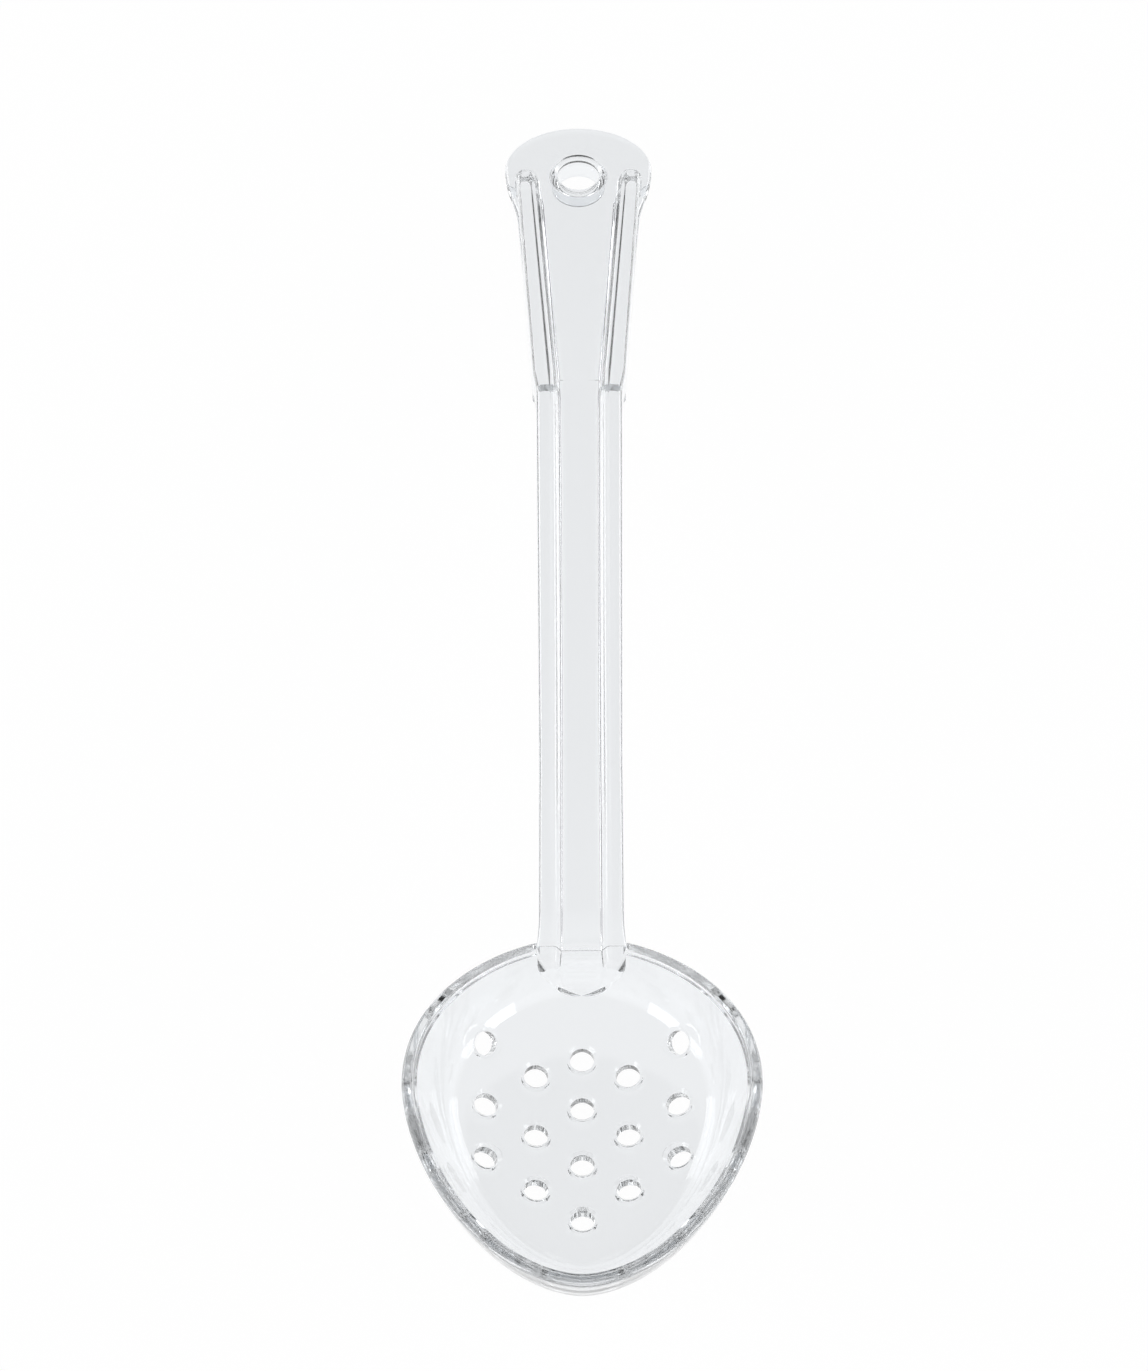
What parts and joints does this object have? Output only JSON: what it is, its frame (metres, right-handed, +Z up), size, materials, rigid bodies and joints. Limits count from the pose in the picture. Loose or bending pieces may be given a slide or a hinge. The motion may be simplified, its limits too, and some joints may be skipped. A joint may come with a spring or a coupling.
{
  "type": "perforated serving spoon",
  "caption": "Clear plastic serving spoon with a deep oval bowl pierced by round drain holes, a channelled stem, stop shoulders and a flared grip with a hanging hole.",
  "frame": {"origin": "on the table, under the middle of the spoon's length and width as it lies at rest", "axes": "+Y along the handle from the bowl to the hanging hole, +Z up out of the bowl, +X to the right of someone who looks from the bowl's tip along the handle"},
  "size_m": [0.066, 0.28, 0.024],
  "materials": {
    "clear_polycarbonate": "clear, polished moulding"
  },
  "bodies": {
    "root": {"bowl": "clear_polycarbonate", "neck": "clear_polycarbonate", "stem": "clear_polycarbonate", "grip": "clear_polycarbonate", "hanging_eye": "clear_polycarbonate"}
  },
  "joints": []
}
